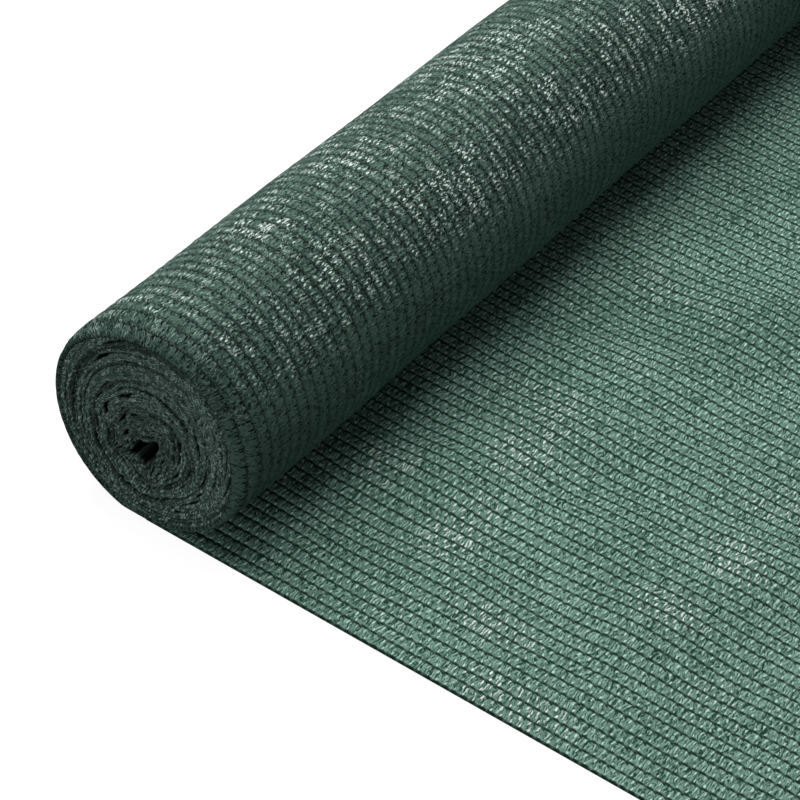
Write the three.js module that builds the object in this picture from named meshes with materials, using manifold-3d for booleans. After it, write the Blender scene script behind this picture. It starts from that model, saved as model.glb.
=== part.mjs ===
// Privacy screen netting: a knitted net wound into a roll, its loose end laid out flat beside it.
// Millimetres. +Y runs along the roll's axis, +X towards the cut end of the loose end, +Z up.
// The origin is at the middle of the underside.
import * as THREE from "three";
import { mergeVertices } from "three/addons/utils/BufferGeometryUtils.js";
import Module from "manifold-3d";

// Driving sizes of the net
const NET_WIDTH = 1000;
const SHEET_THICKNESS = 1.6;
const LOOSE_REACH = 320; // from the roll's axis to the cut end

// Driving sizes of the roll
const ROLL_RADIUS = 40;
const FLAT_SPOT_SINK = 0.7; // how far the roll's own weight flattens it underneath
const OVALNESS = 0.5;
const OVAL_HEADING = 115;
const SWELLS_ALONG = 5; // slack bands along the roll
const SWELL_HEIGHT = 0.45;

// The end faces: shoulders, the dished middle and the grooves between the main turns
const SHOULDER_SHARP = 1.5; // the rim on the side where the outer turn comes up from the sheet
const SHOULDER_SOFT = 13; // the rim above, on the side that faces the loose end
const SHOULDER_HEADING = 60;
const SHOULDER_FADE = [-0.35, 0.95]; // cosines of the turn away from that heading
const DISH_DEPTH = 4;
const FACE_RIPPLE = 1.4; // how unevenly the turns' edges stand
const RIPPLE_LOBES = 3;
const RIPPLE_TWIST = 7;
const MAIN_TURNS = 4;
const GROOVE_WIDTH = 1.1;
const GROOVE_DEPTH = 2;
const GROOVE_CLEARANCE = 4; // how far the cutter stands out of the face
const GROOVE_FROM = 0.94; // shares of the way from the hollow to the skin
const GROOVE_TO = 0.05;

// The hollow in the middle, off the roll's axis, with creases that run out of it
const HOLLOW_OFFSET = { x: -3.6, z: -15 };
const HOLLOW_RADIUS = 4.4;
const HOLLOW_CREASES = [
  { heading: 54, reach: 3.0, spread: 24 },
  { heading: 176, reach: 0.8, spread: 24 },
  { heading: 211, reach: 6.5, spread: 15 },
  { heading: 278, reach: 2.4, spread: 18 },
];

// Soft puckers that lift the loose end off the ground: middle measured from the roll's axis and
// from the near edge, half lengths along and across the heading, and the rise
const PUCKERS = [
  { x: 78, y: 105, along: 70, across: 24, heading: 62, rise: 3.2 },
  { x: 168, y: 88, along: 64, across: 26, heading: 75, rise: 2.8 },
  { x: 236, y: 190, along: 80, across: 30, heading: 55, rise: 2.6 },
  { x: 108, y: 232, along: 74, across: 26, heading: 68, rise: 3.4 },
  { x: 190, y: 330, along: 86, across: 30, heading: 80, rise: 2.6 },
  { x: 92, y: 405, along: 70, across: 24, heading: 60, rise: 3.0 },
  { x: 262, y: 452, along: 72, across: 28, heading: 96, rise: 2.2 },
  { x: 150, y: 520, along: 90, across: 30, heading: 72, rise: 3.0 },
  { x: 96, y: 640, along: 78, across: 26, heading: 64, rise: 2.8 },
  { x: 214, y: 684, along: 84, across: 30, heading: 84, rise: 2.6 },
  { x: 130, y: 796, along: 80, across: 28, heading: 66, rise: 3.0 },
  { x: 244, y: 842, along: 70, across: 26, heading: 78, rise: 2.2 },
  { x: 108, y: 914, along: 62, across: 24, heading: 70, rise: 2.4 },
];
const PUCKER_FLOOR = 1.1; // the rise below which the cloth still lies flat
const PUCKER_CLEARS = [20, 48]; // distance from the roll's axis over which puckers may start

// Steps of the faceted surfaces
const ANGLE_STEPS = 40;
const FACE_STEPS = 4;
const SHOULDER_STEPS = 3;
const SKIN_STEPS = 10;
const HOLLOW_STEPS = 2;
const GROOVE_STEPS_PER_TURN = 20;
const SHEET_STEP = 20;

const radians = THREE.MathUtils.degToRad;
const CENTRE_HEIGHT = ROLL_RADIUS - FLAT_SPOT_SINK;
const NEAR = -NET_WIDTH / 2;

// A closed geometry from rows of points, joined row to row and, where asked, last row to first.
function skinOver(rows, { closeRows, flip = false, lids = [] }) {
  const columns = rows[0].length;
  const positions = rows.flat().flatMap((point) => point.toArray());
  const indices = [];
  const quad = (a, b, c, d) =>
    flip
      ? indices.push(a, c, b, a, d, c)
      : indices.push(a, b, c, a, c, d);
  const joins = closeRows ? rows.length : rows.length - 1;
  for (let row = 0; row < joins; row++) {
    const here = row * columns;
    const next = ((row + 1) % rows.length) * columns;
    for (let column = 0; column < columns; column++) {
      const right = (column + 1) % columns;
      quad(here + column, next + column, next + right, here + right);
    }
  }
  for (const lid of lids) quad(...lid);
  const geometry = new THREE.BufferGeometry();
  geometry.setAttribute(
    "position",
    new THREE.Float32BufferAttribute(positions, 3),
  );
  geometry.setIndex(indices);
  return geometry;
}

// The smallest angle between two headings, in radians.
function turnBetween(a, b) {
  return Math.abs(Math.atan2(Math.sin(a - b), Math.cos(a - b)));
}

// The roll's radius at an angle round the axis and a distance from the net's near edge.
function skinRadius(angle, y) {
  const oval = OVALNESS * Math.cos(2 * (angle - radians(OVAL_HEADING)));
  const phase = (2 * Math.PI * SWELLS_ALONG * (y - NEAR)) / NET_WIDTH;
  const slack = Math.sin(phase + Math.sin(angle)) * Math.cos(phase / 2 + angle);
  return ROLL_RADIUS + oval + SWELL_HEIGHT * slack;
}

// The hollow's radius at an angle: a core with a crease along each heading of the table.
function hollowRadius(angle) {
  return HOLLOW_CREASES.reduce((radius, { heading, reach, spread }) => {
    const off = turnBetween(angle, radians(heading)) / radians(spread);
    return radius + reach * Math.exp(-off * off);
  }, HOLLOW_RADIUS);
}

// The rounding of the rim at an angle, sharp where the outer turn rises and soft opposite.
function shoulderRadius(angle) {
  const toSoft = Math.cos(turnBetween(angle, radians(SHOULDER_HEADING)));
  const share = THREE.MathUtils.smoothstep(toSoft, ...SHOULDER_FADE);
  return THREE.MathUtils.lerp(SHOULDER_SHARP, SHOULDER_SOFT, share);
}

// How far the end face lies inside the net's edge, at a share of the way from hollow to shoulder.
function faceInset(share, angle) {
  const dish = DISH_DEPTH * (1 - share) ** 2;
  const ripple = 1 + Math.sin(RIPPLE_LOBES * angle + RIPPLE_TWIST * share);
  return dish + 2 * FACE_RIPPLE * ripple * share * (1 - share);
}

// A point between the hollow (share 0) and the skin drawn in by a margin (share 1).
function woundPoint(share, angle, y, margin = 0) {
  const ray = { x: Math.cos(angle), z: Math.sin(angle) };
  const inner = hollowRadius(angle);
  const outer = skinRadius(angle, y) - margin;
  const x = THREE.MathUtils.lerp(HOLLOW_OFFSET.x + inner * ray.x, outer * ray.x, share);
  const z = THREE.MathUtils.lerp(HOLLOW_OFFSET.z + inner * ray.z, outer * ray.z, share);
  return new THREE.Vector3(x, y, Math.max(0, CENTRE_HEIGHT + z));
}

// A point on an end face; side is -1 at the near end and 1 at the far end.
function facePoint(share, angle, side) {
  const edge = side * (NET_WIDTH / 2);
  const point = woundPoint(share, angle, edge, shoulderRadius(angle));
  point.y = edge - side * faceInset(share, angle);
  return point;
}

// The rows of one end, from the hollow out over the face and round the shoulder.
function endRows(side) {
  const angles = Array.from(
    { length: ANGLE_STEPS },
    (_, step) => (2 * Math.PI * step) / ANGLE_STEPS,
  );
  const rows = [];
  for (let step = 0; step <= FACE_STEPS; step++)
    rows.push(angles.map((angle) => facePoint(step / FACE_STEPS, angle, side)));
  for (let step = 1; step <= SHOULDER_STEPS; step++) {
    const bend = (Math.PI / 2) * (step / SHOULDER_STEPS);
    rows.push(
      angles.map((angle) => {
        const round = shoulderRadius(angle);
        const y = side * (NET_WIDTH / 2 - round * (1 - Math.cos(bend)));
        return woundPoint(1, angle, y, round * (1 - Math.sin(bend)));
      }),
    );
  }
  return rows;
}

// The rows between two closed rings, both left out.
function rowsBetween(from, to, steps, shape) {
  return Array.from({ length: steps - 1 }, (_, index) => {
    const share = (index + 1) / steps;
    return from.map((start, column) => shape(start.clone().lerp(to[column], share), column));
  });
}

// The wound roll, with its end faces, its skin and the hollow that runs through it.
function rollGeometry() {
  const near = endRows(-1);
  const far = endRows(1).reverse();
  const angleOf = (column) => (2 * Math.PI * column) / ANGLE_STEPS;
  const skin = rowsBetween(near.at(-1), far[0], SKIN_STEPS, (point, column) =>
    woundPoint(1, angleOf(column), point.y),
  );
  const hollow = rowsBetween(far.at(-1), near[0], HOLLOW_STEPS, (point, column) =>
    woundPoint(0, angleOf(column), point.y),
  );
  return skinOver([...near, ...skin, ...far, ...hollow], { closeRows: true });
}

// The groove between the main turns, wound inwards from where the loose end leaves the roll.
function grooveGeometry(side) {
  const steps = Math.round(MAIN_TURNS * GROOVE_STEPS_PER_TURN);
  const rows = [];
  for (let step = 0; step <= steps; step++) {
    const wound = step / steps;
    const angle = -Math.PI / 2 - 2 * Math.PI * MAIN_TURNS * wound;
    const share = THREE.MathUtils.lerp(GROOVE_FROM, GROOVE_TO, wound);
    const middle = facePoint(share, angle, side);
    const across = new THREE.Vector3(Math.cos(angle), 0, Math.sin(angle));
    const corner = (outwards, proud) =>
      middle
        .clone()
        .addScaledVector(across, (outwards * GROOVE_WIDTH) / 2)
        .setY(middle.y + side * proud);
    rows.push([
      corner(-1, GROOVE_CLEARANCE),
      corner(1, GROOVE_CLEARANCE),
      corner(1, -GROOVE_DEPTH),
      corner(-1, -GROOVE_DEPTH),
    ]);
  }
  const last = rows.length * 4;
  return skinOver(rows, {
    closeRows: false,
    flip: side > 0,
    lids: [
      [0, 1, 2, 3],
      [last - 1, last - 2, last - 3, last - 4],
    ],
  });
}

// How high the loose end is lifted off the ground, x measured from the roll's axis.
function puckerHeight(x, y) {
  let lifted = 0;
  for (const { x: px, y: py, along, across, heading, rise } of PUCKERS) {
    const turn = radians(heading);
    const dx = x - px;
    const dy = y - (NEAR + py);
    const u = (dx * Math.cos(turn) + dy * Math.sin(turn)) / along;
    const v = (dy * Math.cos(turn) - dx * Math.sin(turn)) / across;
    lifted += rise * Math.exp(-(u * u + v * v));
  }
  const clear = THREE.MathUtils.smoothstep(x, ...PUCKER_CLEARS);
  return Math.max(0, lifted - PUCKER_FLOOR) * clear;
}

// The loose end: a sheet of even thickness over the puckers, from under the roll to the cut end.
function looseEndGeometry() {
  const columns = Math.round(LOOSE_REACH / SHEET_STEP);
  const stations = Math.round(NET_WIDTH / SHEET_STEP);
  const at = (column, station, thick) => {
    const x = (LOOSE_REACH * column) / columns;
    const y = NEAR + (NET_WIDTH * station) / stations;
    return new THREE.Vector3(x, y, puckerHeight(x, y) + thick);
  };
  const rows = [];
  for (let station = 0; station <= stations; station++) {
    const over = [];
    const under = [];
    for (let column = 0; column <= columns; column++) {
      over.push(at(column, station, SHEET_THICKNESS));
      under.unshift(at(column, station, 0));
    }
    rows.push([...over, ...under]);
  }
  const around = 2 * (columns + 1);
  const last = stations * around;
  const lids = [];
  for (let column = 0; column < columns; column++) {
    const below = around - 1 - column;
    lids.push([column, column + 1, below - 1, below]);
    lids.push([last + below, last + below - 1, last + column + 1, last + column]);
  }
  return skinOver(rows, { closeRows: false, flip: true, lids });
}

const wasm = await Module();
wasm.setup();

function toSolid(geometry) {
  const merged = mergeVertices(geometry, 1e-4);
  return new wasm.Manifold(
    new wasm.Mesh({
      numProp: 3,
      vertProperties: merged.attributes.position.array,
      triVerts: new Uint32Array(merged.index.array),
    }),
  );
}

function toGeometry(solid) {
  const { vertProperties, triVerts } = solid.getMesh();
  const geometry = new THREE.BufferGeometry();
  geometry.setAttribute("position", new THREE.BufferAttribute(vertProperties, 3));
  geometry.setIndex(new THREE.BufferAttribute(triVerts, 1));
  return geometry;
}

// The whole cloth as one solid, moved so that the origin is under its middle.
function nettingGeometry() {
  const grooved = [-1, 1].reduce(
    (roll, side) => roll.subtract(toSolid(grooveGeometry(side))),
    toSolid(rollGeometry()),
  );
  const geometry = toGeometry(grooved.add(toSolid(looseEndGeometry())));
  geometry.computeBoundingBox();
  const middle = geometry.boundingBox.getCenter(new THREE.Vector3());
  return geometry.translate(-middle.x, -middle.y, -geometry.boundingBox.min.z);
}

const knitMaterial = new THREE.MeshStandardMaterial({
  color: 0x4f6f62,
  roughness: 0.6,
  metalness: 0,
});
const netting = new THREE.Mesh(nettingGeometry(), knitMaterial);
netting.name = "netting";

const part = new THREE.Group();
part.add(netting);

export default part;
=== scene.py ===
"""Looks of the rolled privacy screen netting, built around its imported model.

Metres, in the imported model's frame: +Y runs along the roll, +X towards the cut end of the
loose end, +Z up. Cloth is measured by u, the way along it from its cut end, and v, the way
across it from its near edge, or by stitches and stitch rows from the same corner.
"""

from __future__ import annotations

import logging
import math
from abc import ABC, abstractmethod
from dataclasses import dataclass, field
from enum import Enum
from functools import reduce
from typing import Any, Sequence

import bpy
import numpy as np
from mathutils import Matrix, Vector


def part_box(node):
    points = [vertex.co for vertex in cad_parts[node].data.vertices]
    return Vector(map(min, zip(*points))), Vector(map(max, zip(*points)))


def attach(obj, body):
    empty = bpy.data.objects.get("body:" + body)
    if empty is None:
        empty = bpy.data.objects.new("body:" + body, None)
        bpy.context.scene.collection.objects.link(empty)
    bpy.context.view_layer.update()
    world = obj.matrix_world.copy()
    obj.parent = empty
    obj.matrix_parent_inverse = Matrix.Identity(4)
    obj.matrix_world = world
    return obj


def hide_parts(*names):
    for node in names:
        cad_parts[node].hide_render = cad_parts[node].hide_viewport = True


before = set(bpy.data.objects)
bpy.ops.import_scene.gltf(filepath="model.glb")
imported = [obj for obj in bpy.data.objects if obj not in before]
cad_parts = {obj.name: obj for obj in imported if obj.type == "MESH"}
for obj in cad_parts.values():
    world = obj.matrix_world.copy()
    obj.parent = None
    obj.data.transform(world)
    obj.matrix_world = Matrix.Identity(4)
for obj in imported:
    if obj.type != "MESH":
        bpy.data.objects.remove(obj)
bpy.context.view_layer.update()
NET_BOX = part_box("netting")

LOG = logging.getLogger("netting")
MM = 0.001
TAU = 2 * math.pi
NODE = "netting"
UV_MAP = "knit"
PAINTED_SHADE = "painted_gap_shade"
Array = np.ndarray
Number = Array | float
Pair = tuple[float, float]
Colour = tuple[float, float, float]


def smooth_step(value: Number, low: float, high: float) -> Array:
    """A soft step from 0 at low to 1 at high; low may be above high."""
    share = np.clip((np.asarray(value) - low) / (high - low), 0.0, 1.0)
    return share * share * (3 - 2 * share)


def lerp(start: Any, end: Any, share: Any) -> Any:
    """The value a share of the way from start to end."""
    return start + (end - start) * share


def turn_from(angle: Array, heading: float) -> Array:
    """The angle from a heading in degrees, in radians from minus to plus half a turn."""
    off = angle - math.radians(heading)
    return np.arctan2(np.sin(off), np.cos(off))


class End(Enum):
    """The two ends of the roll, by the sign of their Y direction."""

    NEAR = -1
    FAR = 1


class Face(Enum):
    """The two faces of the cloth, by the side that shows: up on the loose end, out on the roll."""

    FRONT = 1
    BACK = -1


@dataclass(frozen=True)
class SmoothField:
    """A smooth seeded field over a plane: a sum of plane waves, about -1 to 1.

    Fields: seed, the shortest and longest wave in the plane's units, and how many are summed.
    """

    seed: int
    shortest: float
    longest: float
    waves: int = 18

    def at(self, u: Array, v: Array) -> Array:
        """The field over the plane.

        Args:
            u: places along the plane.
            v: places across it.

        Returns:
            The field's value at each place.
        """
        draw = np.random.default_rng(self.seed)
        lengths = np.exp(draw.uniform(math.log(self.shortest), math.log(self.longest), self.waves))
        headings = draw.uniform(0, TAU, self.waves)
        phases = draw.uniform(0, TAU, self.waves)
        total = np.zeros(np.broadcast(u, v).shape)
        for length, heading, phase in zip(lengths, headings, phases):
            along = u * math.cos(heading) + v * math.sin(heading)
            total += np.sin(TAU * along / length + phase)
        return total / math.sqrt(self.waves / 2) / 2


@dataclass(frozen=True)
class Knit:
    """Sizes of the knit: stitch rows run along the cloth, side by side across it."""

    row_pitch: float = 5.3 * MM
    stitch_pitch: float = 3.5 * MM
    thickness: float = 1.0 * MM
    rib_height: float = 0.4 * MM
    stitch_height: float = 0.07 * MM
    slack: float = 0.08 * MM
    slack_waves: Pair = (1.9, 2.3)
    row_points: tuple[float, ...] = (0.0, 0.13, 0.5, 0.87)
    row_levels: tuple[float, ...] = (0.0, 0.85, 1.0, 0.85)
    steps_per_stitch: int = 2

    def relief(self, stitches: Array, rows: Array) -> Array:
        """Height of the knit's face over the valley between two rows.

        Args:
            stitches: place along the cloth, in stitches.
            rows: place across the cloth, in stitch rows.

        Returns:
            Heights in metres.
        """
        points = (*self.row_points, 1.0)
        levels = (*self.row_levels, self.row_levels[0])
        rib = np.interp(rows % 1.0, points, levels)
        stitch = 0.5 - 0.5 * np.cos(TAU * stitches)
        along, across = self.slack_waves
        uneven = SmoothField(7, 1.6, 5.0, 26).at(stitches * along, rows * across)
        return rib * (self.rib_height + self.stitch_height * stitch + self.slack * uneven)


@dataclass(frozen=True)
class Pucker:
    """A soft lift of the loose end.

    Fields: x from the roll's axis and y from the near edge, the half lengths along and across
    its heading in degrees, and its rise. Lengths are millimetres.
    """

    x: float
    y: float
    along: float
    across: float
    heading: float
    rise: float

    def lift(self, x: Array, y: Array) -> Array:
        """The lift of the cloth.

        Args:
            x: places from the roll's axis, in millimetres.
            y: places from the near edge, in millimetres.

        Returns:
            The lift at each place, in millimetres.
        """
        turn = math.radians(self.heading)
        dx, dy = x - self.x, y - self.y
        u = (dx * math.cos(turn) + dy * math.sin(turn)) / self.along
        v = (dy * math.cos(turn) - dx * math.sin(turn)) / self.across
        return self.rise * np.exp(-(u * u + v * v))


PUCKERS = (
    Pucker(78, 105, 70, 24, 62, 3.2),
    Pucker(168, 88, 64, 26, 75, 2.8),
    Pucker(236, 190, 80, 30, 55, 2.6),
    Pucker(108, 232, 74, 26, 68, 3.4),
    Pucker(190, 330, 86, 30, 80, 2.6),
    Pucker(92, 405, 70, 24, 60, 3.0),
    Pucker(262, 452, 72, 28, 96, 2.2),
    Pucker(150, 520, 90, 30, 72, 3.0),
    Pucker(96, 640, 78, 26, 64, 2.8),
    Pucker(214, 684, 84, 30, 84, 2.6),
    Pucker(130, 796, 80, 28, 66, 3.0),
    Pucker(244, 842, 70, 26, 78, 2.2),
    Pucker(108, 914, 62, 24, 70, 2.4),
)


@dataclass(frozen=True)
class Crease:
    """A crease or slit that runs out of the roll's hollow.

    Fields: its heading in degrees, its reach in metres and its spread in degrees.
    """

    heading: float
    reach: float
    spread: float

    def at(self, angle: Array) -> Array:
        """How far the crease reaches at an angle round the hollow."""
        off = turn_from(angle, self.heading) / math.radians(self.spread)
        return self.reach * np.exp(-off * off)


@dataclass(frozen=True)
class Pocket:
    """A curved gap where the wound turns part.

    Fields: heading of its middle in degrees and its radius in millimetres, both from its own
    centre, how far the turns part in millimetres, half its length in degrees, that centre in
    millimetres from the roll's axis, how far off the turns still give way, and how close by
    they have parted in full, both in millimetres.
    """

    heading: float
    radius: float
    opening: float
    length: float
    centre: Pair = (0.0, 0.0)
    decay: float = 6.0
    sharpness: float = 0.35

    def push(self, x: Array, z: Array) -> tuple[Array, Array]:
        """How far a turn is pushed aside.

        Args:
            x: places from the roll's axis, in millimetres.
            z: the same, upwards.

        Returns:
            The push along X and along Z, in millimetres.
        """
        dx, dz = x - self.centre[0], z - self.centre[1]
        out = np.maximum(np.hypot(dx, dz), 0.1)
        turn = turn_from(np.arctan2(dz, dx), self.heading) / math.radians(self.length)
        off = out - self.radius
        reach = 0.5 * self.opening * np.tanh(off / self.sharpness)
        reach = reach * np.exp(-((off / self.decay) ** 2) - turn**4)
        return reach * dx / out, reach * dz / out


@dataclass(frozen=True)
class RollForm:
    """The wound roll's form.

    It is the solid's, but two creases of the hollow are shorter, and slits take over from them.
    """

    radius: float = 40 * MM
    sink: float = 0.7 * MM
    ovalness: float = 0.5 * MM
    oval_heading: float = 115
    swells: int = 5
    swell_height: float = 0.45 * MM
    shoulder_sharp: float = 1.5 * MM
    shoulder_soft: float = 13 * MM
    shoulder_heading: float = 60
    shoulder_fade: Pair = (-0.35, 0.95)
    dish: float = 4 * MM
    ripple: float = 1.4 * MM
    ripple_lobes: int = 3
    ripple_twist: float = 7
    hollow_offset: Pair = (-3.6 * MM, -15 * MM)
    hollow_radius: float = 4.4 * MM
    creases: tuple[Crease, ...] = (
        Crease(54, 3.0 * MM, 24),
        Crease(176, 0.8 * MM, 24),
        Crease(211, 2.6 * MM, 12),
        Crease(278, 1.2 * MM, 18),
    )

    @property
    def width(self) -> float:
        """The net's width, along the roll."""
        return NET_BOX[1][1] - NET_BOX[0][1]

    @property
    def near(self) -> float:
        """Y of the near edge."""
        return NET_BOX[0][1]

    @property
    def axis_x(self) -> float:
        """X of the roll's axis: its skin reaches the box's low side."""
        oval = self.ovalness * math.cos(2 * (math.pi - math.radians(self.oval_heading)))
        return NET_BOX[0][0] + self.radius + oval

    @property
    def axis_z(self) -> float:
        """Height of the roll's axis, a little under its radius for the flat spot."""
        return self.radius - self.sink

    @property
    def loose_reach(self) -> float:
        """From the roll's axis to the cut end."""
        return NET_BOX[1][0] - self.axis_x

    def skin_radius(self, angle: Array, y: Array) -> Array:
        """The roll's radius.

        Args:
            angle: angles round its axis, in radians from +X towards +Z.
            y: places along it.

        Returns:
            The radius at each.
        """
        oval = self.ovalness * np.cos(2 * (angle - math.radians(self.oval_heading)))
        phase = TAU * self.swells * (y - self.near) / self.width
        slack = np.sin(phase + np.sin(angle)) * np.cos(phase / 2 + angle)
        return self.radius + oval + self.swell_height * slack

    def hollow_reach(self, angle: Array) -> Array:
        """The hollow's radius at an angle, longer along its creases."""
        round_part = np.full(np.shape(angle), self.hollow_radius)
        return sum((crease.at(angle) for crease in self.creases), round_part)

    def shoulder(self, angle: Array) -> Array:
        """The rim's rounding: sharp where the outer turn rises, soft opposite."""
        toward = np.cos(angle - math.radians(self.shoulder_heading))
        return lerp(self.shoulder_sharp, self.shoulder_soft, smooth_step(toward, *self.shoulder_fade))

    def shoulder_inset(self, below: Array, angle: Array) -> Array:
        """How far the rounded rim draws a turn in.

        Args:
            below: how far the turn lies below the skin.
            angle: its angle round the axis.

        Returns:
            The inset at each place.
        """
        rounding = self.shoulder(angle)
        inside = np.clip(rounding - below, 0, rounding)
        return rounding - np.sqrt(rounding**2 - inside**2)

    def face_inset(self, share: Array, angle: Array) -> Array:
        """How far an end face lies inside the net's edge.

        Args:
            share: places from the hollow, 0, to the rim, 1.
            angle: angles round the axis.

        Returns:
            The inset at each place.
        """
        dish = self.dish * (1 - share) ** 2
        wave = 1 + np.sin(self.ripple_lobes * angle + self.ripple_twist * share)
        return dish + 2 * self.ripple * wave * share * (1 - share)

    def wound(self, share: Array, angle: Array, y: Number, margin: Number = 0.0) -> Array:
        """Points inside the roll.

        Args:
            share: places from the hollow, 0, to the skin, 1.
            angle: angles round the axis.
            y: places along it.
            margin: how far the skin is drawn in.

        Returns:
            The points, one row each.
        """
        inner = self.hollow_reach(angle)
        outer = self.skin_radius(angle, y) - margin
        x = lerp(self.hollow_offset[0] + inner * np.cos(angle), outer * np.cos(angle), share)
        z = lerp(self.hollow_offset[1] + inner * np.sin(angle), outer * np.sin(angle), share)
        y = np.broadcast_to(y, np.shape(x))
        return np.stack([self.axis_x + x, y, self.axis_z + z], axis=-1)


def add_mesh(
    name: str,
    points: Array,
    faces: Sequence[Sequence[int]],
    uv: Array | None = None,
    depth: Array | None = None,
) -> bpy.types.Object:
    """A smooth-shaded mesh object in the scene.

    Args:
        name: the object's name.
        points: vertices, one row each, in metres.
        faces: vertex numbers of each face, turning left seen from outside.
        uv: cloth coordinates of each vertex, or None for none.
        depth: how much painted shade each vertex gets, from 0 to 1, or None for none.

    Returns:
        The new object.
    """
    mesh = bpy.data.meshes.new(name)
    mesh.from_pydata(points.tolist(), [], list(faces))
    if uv is not None:
        layer = mesh.uv_layers.new(name=UV_MAP)
        corners = np.empty(len(mesh.loops), dtype=np.int32)
        mesh.loops.foreach_get("vertex_index", corners)
        layer.uv.foreach_set("vector", uv[corners].astype(np.float32).ravel())
    # the painted shade of each vertex, read by the end face's material
    if depth is not None:
        layer = mesh.attributes.new(PAINTED_SHADE, "FLOAT", "POINT")
        layer.data.foreach_set("value", depth.astype(np.float32))
    mesh.shade_smooth()
    mesh.update()
    piece = bpy.data.objects.new(name, mesh)
    bpy.context.scene.collection.objects.link(piece)
    return piece


def grid_quads(rows: int, columns: int, first: int = 0, flip: bool = False) -> list[list[int]]:
    """Quads over a grid of points stored row by row.

    Args:
        rows: how many rows the grid has.
        columns: how many points a row has.
        first: the number of its first point.
        flip: whether to turn the quads over.

    Returns:
        The quads.
    """
    corner = first + np.arange(rows - 1)[:, None] * columns + np.arange(columns - 1)[None, :]
    ring = [corner, corner + 1, corner + columns + 1, corner + columns]
    if flip:
        ring.reverse()
    return np.stack([side.ravel() for side in ring], axis=1).tolist()


def zip_rims(
    fine: Array, fine_at: Array, coarse: Array, coarse_at: Array, flip: bool
) -> list[list[int]]:
    """Triangles between a fine rim and a coarse one that run side by side.

    Args:
        fine: vertex numbers along the fine rim.
        fine_at: its places, rising.
        coarse: vertex numbers along the coarse rim.
        coarse_at: its places, rising.
        flip: whether to turn the triangles over.

    Returns:
        The triangles.
    """
    triangles = []
    i = j = 0
    while i < len(fine) - 1 or j < len(coarse) - 1:
        next_is_fine = i < len(fine) - 1 and (
            j == len(coarse) - 1 or fine_at[i + 1] <= coarse_at[j + 1]
        )
        if next_is_fine:
            made = [int(fine[i]), int(coarse[j]), int(fine[i + 1])]
            i += 1
        else:
            made = [int(fine[i]), int(coarse[j]), int(coarse[j + 1])]
            j += 1
        triangles.append(made[::-1] if flip else made)
    return triangles


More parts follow.
